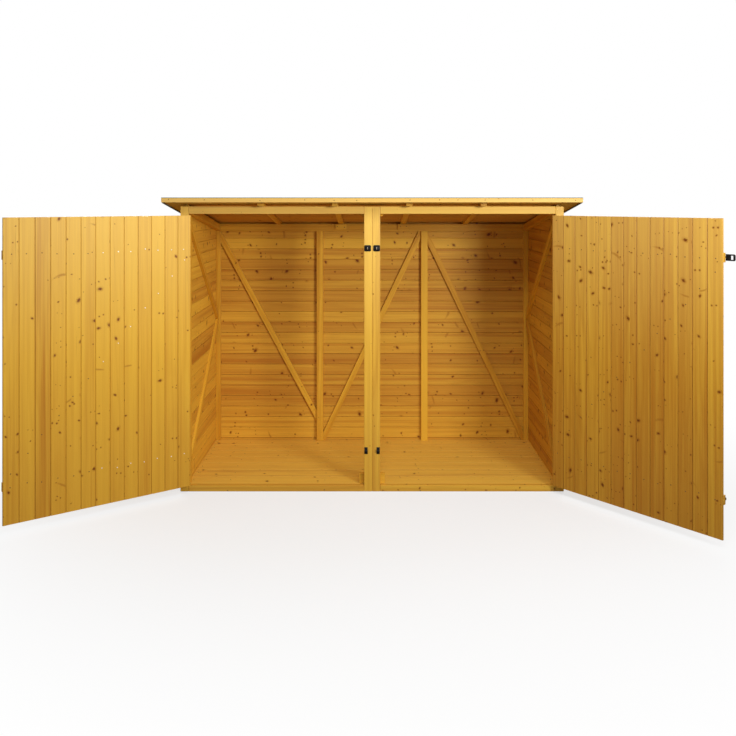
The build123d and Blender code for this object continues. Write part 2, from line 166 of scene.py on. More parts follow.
def deselect():
    if bpy.context.object and bpy.context.object.mode != "OBJECT":
        bpy.ops.object.mode_set(mode="OBJECT")
    bpy.ops.object.select_all(action="DESELECT")


def focus(piece):
    """Make one piece the only selected and active one."""
    deselect()
    piece.select_set(True)
    bpy.context.view_layer.objects.active = piece


def pick(piece, kind, test):
    """In edit mode, select only the faces or edges that pass a test."""
    bpy.ops.mesh.select_all(action="DESELECT")
    bpy.ops.mesh.select_mode(type="FACE" if kind == "faces" else "EDGE")
    mesh = bmesh.from_edit_mesh(piece.data)
    for element in getattr(mesh, kind):
        if test(element):
            element.select_set(True)
    bmesh.update_edit_mesh(piece.data)


def apply_bevel(piece, width, segments=2, angle=30):
    focus(piece)
    bevel = piece.modifiers.new("Eased edges", "BEVEL")
    bevel.width = width
    bevel.segments = segments
    bevel.limit_method = "ANGLE"
    bevel.angle_limit = math.radians(angle)
    bpy.ops.object.modifier_apply(modifier=bevel.name)


def cut_away(piece, point, normal):
    """Saw off everything on the side that the normal points to."""
    focus(piece)
    bpy.ops.object.mode_set(mode="EDIT")
    bpy.ops.mesh.select_all(action="SELECT")
    bpy.ops.mesh.bisect(plane_co=point, plane_no=normal, use_fill=True, clear_outer=True)
    bpy.ops.object.mode_set(mode="OBJECT")


def lay(master, name, places):
    """Copies of a master at each place, joined as one piece; the master goes."""
    made = []
    for place in places:
        copy = master.copy()
        copy.data = master.data.copy()
        copy.data.transform(place)
        bpy.context.collection.objects.link(copy)
        made.append(copy)
    focus(made[0])
    for copy in made:
        copy.select_set(True)
    if len(made) > 1:
        bpy.ops.object.join()
    piece = bpy.context.object
    piece.name = name
    piece.data.name = name
    bpy.data.objects.remove(master)
    return piece


def from_node(node_name, name):
    """A merged copy of a node, ready to be eased and dressed."""
    focus(frame["nodes"][node_name])
    bpy.ops.object.duplicate()
    piece = bpy.context.object
    bpy.ops.object.parent_clear(type="CLEAR_KEEP_TRANSFORM")
    bpy.ops.object.transform_apply(location=True, rotation=True, scale=True)
    piece.name = name
    piece.data.name = name
    piece.data.materials.clear()
    bpy.ops.object.mode_set(mode="EDIT")
    bpy.ops.mesh.select_all(action="SELECT")
    bpy.ops.mesh.remove_doubles(threshold=0.01 * MM)
    bpy.ops.mesh.dissolve_limited(angle_limit=math.radians(1))
    bpy.ops.mesh.normals_make_consistent(inside=False)
    bpy.ops.object.mode_set(mode="OBJECT")
    return piece


def islands(mesh):
    """For each vertex, the lowest number of a vertex that edges join it to."""
    parent = list(range(len(mesh.vertices)))

    def root(i):
        while parent[i] != i:
            parent[i] = parent[parent[i]]
            i = parent[i]
        return i

    for edge in mesh.edges:
        a, b = root(edge.vertices[0]), root(edge.vertices[1])
        parent[max(a, b)] = min(a, b)
    return [root(i) for i in range(len(parent))]


END_STRETCH = 12.0       # sawn ends show the grain as dots and arcs instead of streaks
TREE = 40                # metres of pattern from which each timber takes its own stretch
FACE_STEP = 0.37         # shift of the pattern from one face of a timber to the next
SAWN_END = 0.7           # cosine to the grain from which a face is a sawn end


def grain_map(piece, seed, along=None, knotty=0.35, lean=0.0, spread=0.5):
    """Unwrap each timber at real size with its grain along the U axis.

    The layer "grain" holds metres along and across the timber, shifted by a chance amount for
    each one. "tone" says how dark a timber is (lean and spread of them all), "knotty" how many
    knots it has, and "end_grain" marks its sawn ends.
    """
    chance = random.Random(seed)
    mesh = piece.data
    owner = islands(mesh)
    longest = {}
    for edge in mesh.edges:
        start, end = (mesh.vertices[i].co for i in edge.vertices)
        length = (end - start).length
        timber = owner[edge.vertices[0]]
        if length > longest.get(timber, (0, None))[0]:
            longest[timber] = (length, (end - start).normalized())
    timbers = sorted(longest)
    shift = {t: (chance.uniform(0, TREE), chance.uniform(0, TREE)) for t in timbers}
    tone = {t: max(-1.0, min(1.0, chance.gauss(lean, spread))) for t in timbers}
    share = {t: knotty * chance.uniform(0.2, 1.8) for t in timbers}
    grain = mesh.uv_layers.new(name="grain")
    ends = mesh.attributes.new("end_grain", "FLOAT", "FACE")
    for key, values in (("tone", tone), ("knotty", share)):
        layer = mesh.attributes.new(key, "FLOAT", "POINT")
        for i, timber in enumerate(owner):
            layer.data[i].value = values.get(timber, 0)
    for face in mesh.polygons:
        timber = owner[face.vertices[0]]
        axis = Vector(along) if along else longest[timber][1]
        is_end = abs(face.normal.dot(axis)) > SAWN_END
        ends.data[face.index].value = 1.0 if is_end else 0.0
        across = face.normal.cross(axis)
        if across.length < 0.3:             # the face looks along the grain
            across = axis.orthogonal()
        across.normalize()
        first = face.normal.cross(across).normalized() if is_end else axis
        stretch = END_STRETCH if is_end else 1.0
        side = FACE_STEP * round(face.normal.dot(axis.orthogonal()), 1)
        for loop in face.loop_indices:
            co = mesh.vertices[mesh.loops[loop].vertex_index].co
            grain.data[loop].uv = (co.dot(first) * stretch + shift[timber][0] + side,
                                   co.dot(across) + shift[timber][1])


def dress(piece, material, body, slot, *nodes):
    """Give a finished piece its finish, its body and the nodes that it stands for."""
    if material:
        piece.data.materials.clear()
        piece.data.materials.append(material)
    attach(piece, body)
    if nodes:
        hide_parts(*nodes)


# Glaze on the chamfers of a joint; the wide joints outside hold the most
SEAM_GLAZE = {"weather": 2.6, "pooled": 1.0, "wiped": 0.4}


def plank(length, cover, thick, sizes, outside=0, pooled=1):
    """One tongued board along X, its tongue towards +Y, with chamfered long edges.

    outside is the way along Z to the face whose joints are wide Vs, or 0. Glaze pools on one
    side of each joint, pooled along Y, while the other side catches the light.
    """
    deselect()
    wide = cover - sizes.joint
    bpy.ops.mesh.primitive_cube_add(size=1, scale=(length, wide, thick))
    bpy.ops.object.transform_apply(location=False, rotation=False, scale=True)
    piece = bpy.context.object
    tongue = thick / 3
    bpy.ops.object.mode_set(mode="EDIT")
    for level in (-tongue / 2, tongue / 2):
        bpy.ops.mesh.select_all(action="SELECT")
        bpy.ops.mesh.bisect(plane_co=(0, 0, level), plane_no=(0, 0, 1))
    pick(piece, "faces", lambda f: f.normal.y > 0.9 and abs(f.calc_center_median().z) < tongue / 2)
    bpy.ops.mesh.extrude_region_move(TRANSFORM_OT_translate={"value": (0, sizes.joint, 0)})

    def is_arris(edge, way):
        a, b = (vert.co for vert in edge.verts)
        middle = (a + b) / 2
        return (abs(a.x - b.x) > length / 2 and abs(middle.z - way * thick / 2) < 0.01 * MM
                and abs(abs(middle.y) - wide / 2) < 0.01 * MM)

    for way in (-1, 1):
        pick(piece, "edges", lambda edge: is_arris(edge, way))
        bpy.ops.mesh.bevel(offset=sizes.outer_arris if way == outside else sizes.arris,
                           segments=1, affect="EDGES")
    bpy.ops.object.mode_set(mode="OBJECT")
    joint = piece.data.attributes.new("joint", "FLOAT", "FACE")
    for face in piece.data.polygons:
        slant = 0.3 < abs(face.normal.y) < 0.9
        place = ("weather" if face.normal.z * outside > 0
                 else "pooled" if face.normal.y * pooled > 0 else "wiped")
        joint.data[face.index].value = SEAM_GLAZE[place] if slant else 0.0
    return piece


# Materials

SMOOTH = {"interpolation_type": "SMOOTHSTEP"}


def add(tree, kind, inputs=(), out=0, **settings):
    """Add a node, set its properties, set or link its inputs, and give one of its outputs.

    The inputs are a list in the node's own order or a dict; out=None gives all the outputs.
    """
    made = tree.nodes.new(kind)
    for key, value in settings.items():
        setattr(made, key, value)
    for key, value in (inputs.items() if isinstance(inputs, dict) else enumerate(inputs)):
        if isinstance(value, bpy.types.NodeSocket):
            tree.links.new(value, made.inputs[key])
        else:
            made.inputs[key].default_value = value
    return made.outputs if out is None else made.outputs[out]


def new_material(name):
    material = bpy.data.materials.new(name)
    material.use_nodes = True
    material.node_tree.nodes.clear()
    return material, material.node_tree


def finish_material(material, shader):
    add(material.node_tree, "ShaderNodeOutputMaterial", {"Surface": shader}, None)
    return material


def opaque(rgb):
    return (*rgb, 1.0)


KNOT_BAND = 66 * MM         # about one board, so each board has its own row of chance knots
RINGS = 7.0                 # growth lines in each broad swell; real ones are too fine to show
EVEN = 0.3                  # share of late wood where the streaks fade out
SHEEN_HEIGHTS = (0.6, 1.45)      # metres up over which the painted sheen and light grow
FOOT_SHADE_HEIGHTS = (0.05, 0.95)     # metres up over which the painted shade at the foot fades out
# Swells in each metre along and across a timber, and detail
PATTERNS = (("swell", 0.7, 9.0, 0.0), ("stripe", 1.0, 55.0, 2.0), ("band", 0.5, 34.0, 2.0),
            ("thread", 1.4, 140.0, 1.0), ("fibre", 8.0, 380.0, 2.0))

# Kinds of knot: metres from one to the next along a board, share of the places that have one,
# least and largest radius in mm, turn from the grain and how far it swings, how many times longer
# than wide, twins' distance from the middle in mm, bow of a long one, strength of heart and ring.
KNOTS = {
    "round": {"pitch": 0.085, "share": 1.0, "small": 1.6, "large": 7.2, "swing": 2.4,
              "longer": 1.5, "core": 1.0, "ring": 1.0},
    "twin": {"pitch": 0.15, "share": 1.1, "small": 1.5, "large": 4.2, "swing": 0.7,
             "apart": 10, "core": 1.0, "ring": 1.0},
    "spike": {"pitch": 0.40, "share": 0.5, "small": 2.4, "large": 4.0, "swing": 1.2,
              "longer": 6.0, "bow": 8.0, "core": 0.0, "ring": 1.0},
    "resin": {"pitch": 0.55, "share": 1.3, "small": 0.5, "large": 0.9, "turn": 0.0,
              "swing": 0.03, "longer": 80.0, "core": 0.45, "ring": 0.0},
}


def chance_knots(tree, grain, knotty, ragged, scale, pitch, share, small, large, swing, core, ring,
                 turn=math.pi / 2, longer=1.0, apart=0.0, bow=0.0):
    """Heart and ring of one kind of knot, and how far the nearest one lies across the board."""
    patch = add(tree, "ShaderNodeVectorMath", [grain, (1 / pitch, 1 / KNOT_BAND, 0)],
                operation="MULTIPLY")
    near = add(tree, "ShaderNodeTexVoronoi", {"Vector": patch, "Scale": 1.0, "Randomness": 1.0},
               None, voronoi_dimensions="2D")
    away = add(tree, "ShaderNodeVectorMath", [patch, near["Position"]], operation="SUBTRACT")
    away = add(tree, "ShaderNodeVectorMath", [away, (pitch, KNOT_BAND, 0)], operation="MULTIPLY")
    big, rare, way = add(tree, "ShaderNodeSeparateColor", [near["Color"]], None)
    angle = add(tree, "ShaderNodeMath", [way, swing, turn - swing / 2], operation="MULTIPLY_ADD")
    place = add(tree, "ShaderNodeVectorRotate", {"Vector": away, "Angle": angle},
                rotation_type="Z_AXIS")
    if bow:
        along, across, _ = add(tree, "ShaderNodeSeparateXYZ", [place], None)
        square = add(tree, "ShaderNodeMath", [along, 2.0], operation="POWER")
        hollow = add(tree, "ShaderNodeMath", [big, 2 * bow, -bow], operation="MULTIPLY_ADD")
        across = add(tree, "ShaderNodeMath", [square, hollow, across], operation="MULTIPLY_ADD")
        place = add(tree, "ShaderNodeCombineXYZ", [along, across])
    if apart:
        place = add(tree, "ShaderNodeVectorMath", [place], operation="ABSOLUTE")
        place = add(tree, "ShaderNodeVectorMath", [place, (apart * MM, 0, 0)],
                    operation="SUBTRACT")
    place = add(tree, "ShaderNodeVectorMath", [place, (1 / longer, 1, 0)], operation="MULTIPLY")
    far = add(tree, "ShaderNodeVectorMath", [place], "Value", operation="LENGTH")
    draw = add(tree, "ShaderNodeMath", [big, 2.0], operation="POWER")
    radius = add(tree, "ShaderNodeMapRange", [draw, 0, 1, small * MM * scale, large * MM * scale])
    far = add(tree, "ShaderNodeMath", [far, radius], operation="DIVIDE")
    far = add(tree, "ShaderNodeMath", [ragged, 0.9, far], operation="MULTIPLY_ADD")
    chance = add(tree, "ShaderNodeMath", [knotty, share], operation="MULTIPLY")
    present = add(tree, "ShaderNodeMath", [rare, chance], operation="LESS_THAN")
    found = []
    for edge, strength in ((1.7, core), (2.8, ring)):
        inside = add(tree, "ShaderNodeMapRange", [far, 0.8, edge, strength, 0], **SMOOTH)
        found.append(add(tree, "ShaderNodeMath", [inside, present], operation="MULTIPLY"))
    return (*found, add(tree, "ShaderNodeSeparateXYZ", [away], 1))


def glazed_spruce(name, finish, depth=0.5, thin=(0.0, 0.0), foot=0.0, knot_size=1.0, pool=0.4,
                  sheen=0.2, ripe=0.0):
    """Planed spruce under a thin honey glaze.

    The glaze stays clear enough for the growth lines and brown knots to show, evens out the
    boards' own colours and leaves a soft satin sheen. thin (low and high) blends in a paler
    glaze; where high is above low, the blend grows towards the head as painted sheen and
    light. foot paints shade that browns and darkens the foot, and the joints are dark with
    glaze (pool). ripe adds late wood, which is darker.
    """
    material, tree = new_material(name)
    grain = add(tree, "ShaderNodeUVMap", uv_map="grain")
    tone, knotty, sawn, joint = [add(tree, "ShaderNodeAttribute", (), "Fac", attribute_name=key)
                                 for key in ("tone", "knotty", "end_grain", "joint")]
    ragged = add(tree, "ShaderNodeTexNoise", {"Vector": grain, "Scale": 160.0, "Detail": 1.0})
    heart = around = 0.0
    for kind, settings in KNOTS.items():
        core, ring, aside = chance_knots(tree, grain, knotty, ragged, knot_size, **settings)
        heart = add(tree, "ShaderNodeMath", [heart, core], operation="MAXIMUM")
        around = add(tree, "ShaderNodeMath", [around, ring], operation="MAXIMUM")
        if kind == "round":         # the streaks part round these only
            parting = add(tree, "ShaderNodeMath", [aside, ring], operation="MULTIPLY")

    # Streaks run along the board and part round the knots
    along, across, _ = add(tree, "ShaderNodeSeparateXYZ", [grain], None)
    across = add(tree, "ShaderNodeMath", [across, parting], operation="SUBTRACT")
    flow = add(tree, "ShaderNodeCombineXYZ", [along, across])
    pattern = {}
    for kind, lengthways, sideways, detail in PATTERNS:
        drawn = add(tree, "ShaderNodeVectorMath", [flow, (lengthways, sideways, 1)],
                    operation="MULTIPLY")
        pattern[kind] = add(tree, "ShaderNodeTexNoise",
                            {"Vector": drawn, "Scale": 1.0, "Detail": detail},
                            noise_dimensions="2D")
    lines = add(tree, "ShaderNodeMath", [pattern["swell"], 2 * math.pi * RINGS],
                operation="MULTIPLY")
    lines = add(tree, "ShaderNodeMath", [lines], operation="SINE")
    late = add(tree, "ShaderNodeMapRange", [lines, 0, 1, 0, 1], **SMOOTH)
    share = ripe - 1.1              # brings the sum of the four parts to a share of late wood
    for part, weight in ((late, 0.24), (pattern["stripe"], 2.3), (tone, 0.3),
                         (pattern["fibre"], 0.7)):
        share = add(tree, "ShaderNodeMath", [part, weight, share], operation="MULTIPLY_ADD")

    # A timber that leans to the dark also has the stronger streaks
    lively = add(tree, "ShaderNodeMapRange", [tone, -1, 0.4, 0.2, 1])
    share = add(tree, "ShaderNodeMath", [share, EVEN], operation="SUBTRACT")
    share = add(tree, "ShaderNodeMath", [share, lively, EVEN], operation="MULTIPLY_ADD")
    seam = add(tree, "ShaderNodeMath", [joint, lively], operation="MULTIPLY")
    redder = add(tree, "ShaderNodeTexWhiteNoise", {"W": tone}, "Value", noise_dimensions="1D")
    redder = add(tree, "ShaderNodeMath", [redder, lively], operation="MULTIPLY")
    bands = add(tree, "ShaderNodeMapRange", [pattern["band"], 0.52, 0.68, 0, 1.1 * depth], **SMOOTH)
    threads = add(tree, "ShaderNodeMapRange", [pattern["thread"], 0.56, 0.72, 0, 0.8 * depth],
                  **SMOOTH)
    place = add(tree, "ShaderNodeTexCoord", (), "Object")
    level = add(tree, "ShaderNodeSeparateXYZ", [place], 2)
    # Painted sheen and light: where thin's high is above its low, the paler share grows towards the
    # head
    pale_and_sheen_share = add(tree, "ShaderNodeMapRange", [level, *SHEEN_HEIGHTS, *thin], **SMOOTH)
    # Painted shade: the foot darkens and browns towards the ground (foot)
    painted_foot_shade = add(tree, "ShaderNodeMapRange", [level, *FOOT_SHADE_HEIGHTS, foot, 0], **SMOOTH)
    darkened = add(tree, "ShaderNodeMapRange", [tone, -1, 1, 0, depth])
    wood = opaque(finish.pale)
    for amount, factor, coat in (
            (1.0, share, finish.deep), (depth, redder, finish.tan), (1.0, darkened, finish.dark_board_and_shade),
            (lively, bands, finish.streak), (lively, threads, finish.streak),
            (1.0, pale_and_sheen_share, finish.pale_glaze_and_sheen), (1.0, painted_foot_shade, finish.dark_board_and_shade), (0.55, around, finish.halo),
            (0.9, heart, finish.knot), (0.5, sawn, finish.end), (pool, seam, finish.seam)):
        if amount != 1.0:
            factor = add(tree, "ShaderNodeMath", [factor, amount], operation="MULTIPLY")
        wood = add(tree, "ShaderNodeMix", {0: factor, 6: wood, 7: opaque(coat)}, 2,
                   data_type="RGBA")
    height = add(tree, "ShaderNodeMath", [late, 0.35, pattern["fibre"]], operation="MULTIPLY_ADD")
    bump = add(tree, "ShaderNodeBump", {"Strength": 0.4, "Distance": 0.2 * MM, "Height": height})
    rough = add(tree, "ShaderNodeMapRange", [pattern["fibre"], 0, 1, 0.38, 0.52])
    return finish_material(material, add(tree, "ShaderNodeBsdfPrincipled", {
        "Base Color": wood, "Roughness": rough, "Specular IOR Level": sheen, "Normal": bump}))


def mineral_felt(finish):
    """Bitumen roofing felt rolled with slate grit: dull, gritty, green-grey, darker where bald."""
    grit = 1.6 * MM                 # real grit is under 1 mm and would not show
    material, tree = new_material("Bitumen felt, rolled with green-grey slate grit")
    place = add(tree, "ShaderNodeTexCoord", (), "Object")
    grains = add(tree, "ShaderNodeTexVoronoi", {"Vector": place, "Scale": 1 / (2 * grit)}, None)
    patches = add(tree, "ShaderNodeTexNoise", {"Vector": place, "Scale": 7.0, "Detail": 4.0})
    bald = add(tree, "ShaderNodeMapRange", [patches, 0.35, 0.75, 0.0, 0.35])
    tint = add(tree, "ShaderNodeSeparateColor", [grains["Color"]])
    speck = add(tree, "ShaderNodeMapRange", [tint, 0.0, 1.0, 0.0, 0.55])
    total = add(tree, "ShaderNodeMath", [speck, bald], operation="ADD", use_clamp=True)
    base = add(tree, "ShaderNodeMix", {0: total, 6: opaque(finish.felt), 7: opaque(finish.bitumen)},
               2, data_type="RGBA")
    bump = add(tree, "ShaderNodeBump", {"Strength": 0.8, "Distance": 0.6 * MM,
                                        "Height": grains["Distance"]})
    return finish_material(material, add(tree, "ShaderNodeBsdfPrincipled", {
        "Base Color": base, "Roughness": 0.92, "Normal": bump}))


def coated_iron(finish):
    """Pressed steel under a black powder coat: a slight orange peel and a dull satin shine."""
    peel = 1.2 * MM
    material, tree = new_material("Pressed steel, black powder coat")
    place = add(tree, "ShaderNodeTexCoord", (), "Object")
    skin = add(tree, "ShaderNodeTexNoise", {"Vector": place, "Scale": 1 / peel, "Detail": 1.0})
    dust = add(tree, "ShaderNodeTexNoise", {"Vector": place, "Scale": 60.0, "Detail": 3.0})
    rough = add(tree, "ShaderNodeMapRange", [dust, 0, 1, 0.45, 0.65])
    bump = add(tree, "ShaderNodeBump", {"Strength": 0.25, "Distance": 0.1 * MM, "Height": skin})
    return finish_material(material, add(tree, "ShaderNodeBsdfPrincipled", {
        "Base Color": opaque(finish.iron), "Roughness": rough, "Specular IOR Level": 0.2,
        "Normal": bump}))


def nail_steel(name, rgb, metallic, smooth, dull):
    """Wire nails struck by the hammer: small dents, bright where plated, brown under the glaze."""
    dent = 1.5 * MM
    material, tree = new_material(name)
    place = add(tree, "ShaderNodeTexCoord", (), "Object")
    dents = add(tree, "ShaderNodeTexNoise", {"Vector": place, "Scale": 1 / dent, "Detail": 2.0})
    rough = add(tree, "ShaderNodeMapRange", [dents, 0, 1, smooth, dull])
    bump = add(tree, "ShaderNodeBump", {"Strength": 0.4, "Distance": 0.15 * MM, "Height": dents})
    return finish_material(material, add(tree, "ShaderNodeBsdfPrincipled", {
        "Base Color": opaque(rgb), "Metallic": metallic, "Roughness": rough, "Normal": bump}))


# Where thin rises from low to high it paints sheen and light on the upper part; foot paints shade
# on the lower part
SPRUCE = {
    "door": {"name": "Spruce door boards, planed, honey glaze",
             "depth": 0.5, "thin": (0.0, 0.25), "foot": 0.3, "pool": 0.6},
    "wall": {"name": "Spruce wall boards, planed, honey glaze",
             "depth": 0.65, "thin": (0.04, 0.04), "knot_size": 1.25, "ripe": 0.05},
    # The floor's pale, even glaze is partly painted light: it brightens the floor as if more light
    # fell on it
    "floor": {"name": "Spruce floor boards, planed, honey glaze",
              "depth": 0.05, "thin": (0.2, 0.2), "pool": 0.7, "ripe": -0.4},
    "roof": {"name": "Spruce roof boards, sawn, dull honey glaze",
             "depth": 0.6, "thin": (0.2, 0.2), "sheen": 0.0},
    "front": {"name": "Spruce front frame, planed, thin honey glaze",
              "depth": 0.2, "thin": (0.06, 0.35), "foot": 0.15, "knot_size": 0.7},
    "fascia": {"name": "Spruce fascia, planed, one thin coat of honey glaze",
               "depth": 0.6, "thin": (0.5, 0.5), "knot_size": 0.5},
    "framing": {"name": "Spruce battens, planed, honey glaze", "depth": 0.2, "knot_size": 0.7},
}
STEEL = {
    # The bright bare nose of each staple's loop is a painted highlight
    "nose_highlight": {"name": "Staple steel, coating rubbed off",
             "metallic": 1.0, "smooth": 0.3, "dull": 0.5},
    "zinc": {"name": "Nail steel, zinc plated", "metallic": 0.6, "smooth": 0.3, "dull": 0.55},
    "glazed_nail": {"name": "Nail steel under the glaze",
                    "metallic": 0.4, "smooth": 0.4, "dull": 0.6},
}
made_materials = {}


def finish_for(key):
    """Make each finish once, when a piece first needs it."""
    if key not in made_materials:
        finish = bpy.context.scene.shelter_finishes
        if key in SPRUCE:
            made = glazed_spruce(finish=finish, **SPRUCE[key])
        elif key in STEEL:
            made = nail_steel(rgb=getattr(finish, key), **STEEL[key])
        else:
            made = {"felt": mineral_felt, "iron": coated_iron}[key](finish)
        made_materials[key] = made
    return made_materials[key]


# Doors are made closed and then swung to where they stand

def door_hinge(side_word):
    """The door's upright axis and the swing, about +Z, from closed to where it stands."""
    for joint in frame["record"]["behaviour"]["joints"]:
        if joint["name"] == f"{side_word}_door_hinge":
            closed = -joint["range_deg"][0] * joint["axis"][2]
            return Vector(joint["pos_m"]), math.radians(closed)
    raise RuntimeError(f"no hinge for the {side_word} door")


def swung(side_word):
    pin, angle = door_hinge(side_word)
    return Matrix.Translation(pin) @ Matrix.Rotation(angle, 4, "Z") @ Matrix.Translation(-pin)


def closed_limits(node_name, side_word):
    """Lowest and highest corner of a door's node when that door is closed."""
    back = swung(side_word).inverted()
    corners = [back @ vertex.co for vertex in frame["nodes"][node_name].data.vertices]
    low = Vector([min(c[i] for c in corners) for i in range(3)])
    high = Vector([max(c[i] for c in corners) for i in range(3)])
    return low, high


# Turns of a board, which is made flat, along X
BACK_WALL = Matrix(((1, 0, 0, 0), (0, 0, -1, 0), (0, 1, 0, 0), (0, 0, 0, 1)))
SIDE_WALL = Matrix(((0, 0, 1, 0), (1, 0, 0, 0), (0, 1, 0, 0), (0, 0, 0, 1)))
UPRIGHT = Matrix(((0, 1, 0, 0), (0, 0, 1, 0), (1, 0, 0, 0), (0, 0, 0, 1)))

# How knotty the boards are, how far they lean to the dark, and how much they differ
GRAIN = {
    "left_door_boards": (0.35, -0.7, 0.25),
    "right_door_boards": (0.6, 0.35, 0.8),      # more knots, browner and less alike
    "back_wall": (0.4, 0.0, 0.35),
    "left_wall": (0.4, -0.6, 0.35),
    "right_wall": (0.4, 0.0, 0.35),
    "floor_deck": (0.15, 0.0, 0.3),
    "roof_deck": (0.25, 0.0, 0.5),
}


class SHELTER_OT_door_boards(bpy.types.Operator):
    """Upright tongued boards of both doors"""
    bl_idname = "shelter.door_boards"
    bl_label = "Door boards"

    def execute(self, context):
        sizes = context.scene.shelter_boards
        for seed, word in enumerate(SIDES):
            node = f"{word}_door_boards"
            low, high = closed_limits(node, word)
            cover = (high.x - low.x) / sizes.door_count
            middle = (low + high) / 2
            board = plank(high.z - low.z, cover, high.y - low.y, sizes, -1, -SIDES[word])
            places = [swung(word) @ Matrix.Translation((low.x + (i + 0.5) * cover - sizes.joint / 2,
                                                        middle.y, middle.z)) @ UPRIGHT
                      for i in range(sizes.door_count)]
            piece = lay(board, f"{word}_door_planks", places)
            grain_map(piece, 11 + seed, (0, 0, 1), *GRAIN[node])
            dress(piece, finish_for("door"), f"{word}_door", "door_boards", node)
        return {"FINISHED"}


def frame_fall():
    """Drop of the roof for each metre of depth, from the roof boards' own corners."""
    low, high = limits("roof_deck")
    corners = [v.co for v in frame["nodes"]["roof_deck"].data.vertices]
    front = min(c.z for c in corners if abs(c.y - low.y) < MM)
    back = min(c.z for c in corners if abs(c.y - high.y) < MM)
    return (front - back) / (high.y - low.y)


def roof_line():
    """A point on the slope at which the wall boards end, and the normal that points above it."""
    low, high = limits("left_wall")
    return Vector((0, low.y, high.z)), Vector((0, frame_fall(), 1)).normalized()


class SHELTER_OT_wall_boards(bpy.types.Operator):
    """Level tongued boards of the back and side walls"""
    bl_idname = "shelter.wall_boards"
    bl_label = "Wall boards"

    def execute(self, context):
        sizes = context.scene.shelter_boards
        for seed, (node, turn, run, outside) in enumerate((("back_wall", BACK_WALL, "x", -1),
                                                           ("left_wall", SIDE_WALL, "y", -1),
                                                           ("right_wall", SIDE_WALL, "y", 1))):
            low, high = limits(node)
            length = getattr(high, run) - getattr(low, run)
            thick = min(high.x - low.x, high.y - low.y)
            middle = (low + high) / 2
            board = plank(length, sizes.wall_course, thick, sizes, outside)
            joint = sizes.first_joint
            places = []
            while joint - sizes.wall_course < high.z:
                centre = (middle.x, middle.y, joint - (sizes.wall_course + sizes.joint) / 2)
                places.append(Matrix.Translation(centre) @ turn)
                joint += sizes.wall_course
            piece = lay(board, f"{node}_planks", places)
            cut_away(piece, (0, 0, low.z), (0, 0, -1))
            cut_away(piece, *roof_line())
            grain_map(piece, 21 + seed, (1, 0, 0) if run == "x" else (0, 1, 0), *GRAIN[node])
            dress(piece, finish_for("wall"), "shed", "wall_boards", node)
        return {"FINISHED"}


class SHELTER_OT_floor_boards(bpy.types.Operator):
    """Floor boards that run from side to side"""
    bl_idname = "shelter.floor_boards"
    bl_label = "Floor boards"

    def execute(self, context):
        sizes = context.scene.shelter_boards
        low, high = limits("floor_deck")
        cover = (high.y - low.y) / sizes.floor_count
        middle = (low + high) / 2
        board = plank(high.x - low.x, cover, high.z - low.z, sizes)
        places = [Matrix.Translation((middle.x, low.y + (i + 0.5) * cover - sizes.joint / 2,
                                      middle.z)) for i in range(sizes.floor_count)]
        piece = lay(board, "floor_planks", places)
        grain_map(piece, 31, (1, 0, 0), *GRAIN["floor_deck"])
        dress(piece, finish_for("floor"), "shed", "floor_boards", "floor_deck")
        return {"FINISHED"}


class SHELTER_OT_roof_boards(bpy.types.Operator):
    """Roof boards that run from side to side on the rafters"""
    bl_idname = "shelter.roof_boards"
    bl_label = "Roof boards"

    def execute(self, context):
        sizes = context.scene.shelter_boards
        low, high = limits("roof_deck")
        fall = frame_fall()
        cover = (high.y - low.y) / sizes.roof_count
        thick = high.z - low.z - fall * (high.y - low.y)
        board = plank(high.x - low.x, cover, thick, sizes)
        places = [Matrix.Translation((0, low.y + (i + 0.5) * cover - sizes.joint / 2, 0))
                  for i in range(sizes.roof_count)]
        piece = lay(board, "roof_planks", places)
        grain_map(piece, 41, (1, 0, 0), *GRAIN["roof_deck"])
        slope = Matrix(((1, 0, 0, 0), (0, 1, 0, 0),
                        (0, -fall, 1, high.z - thick / 2 + fall * low.y), (0, 0, 0, 1)))
        piece.data.transform(slope)
        dress(piece, finish_for("roof"), "shed", "roof_boards", "roof_deck")
        return {"FINISHED"}


FRAMING = {
    "shed": ["floor_joists", "left_sill", "right_sill", "left_post", "middle_left_post",
             "middle_right_post", "right_post", "left_top_rail", "right_top_rail", "top_stop",
             "bottom_stop", "back_top_rail", "back_studs", "back_braces", "left_wall_studs",
             "right_wall_studs", "left_wall_rail", "right_wall_rail", "left_wall_braces",
             "right_wall_braces", "rafters", "rafter_cleats", "fascia"],
    "left_door": ["left_door_ledges", "left_door_brace"],
    "right_door": ["right_door_ledges", "right_door_brace"],
}
FRAMING_LEAN = {"rafter_cleats": -0.9, "fascia": 1.0}      # how far a timber leans to the dark
IN_FRONT = ("_post", "_sill", "left_top_rail", "right_top_rail")      # ends of the names


class SHELTER_OT_framing(bpy.types.Operator):
    """Posts, rails, studs, braces, rafters and ledges with eased edges"""
    bl_idname = "shelter.framing"
    bl_label = "Framing"

    def execute(self, context):
        sizes = context.scene.shelter_boards
        seed = 50
        for body, nodes in FRAMING.items():
            for node in nodes:
                piece = from_node(node, f"{node}_timber")
                in_front = node.endswith(IN_FRONT)
                apply_bevel(piece, sizes.eased if in_front else sizes.batten_eased,
                            3 if in_front else 2)
                grain_map(piece, seed, None, 0.2, FRAMING_LEAN.get(node, 0.0))
                seed += 1
                finish = "front" if in_front else "fascia" if node == "fascia" else "framing"
                dress(piece, finish_for(finish), body, "frame_timber", node)
        return {"FINISHED"}


FELT_EDGE = 1.2 * MM


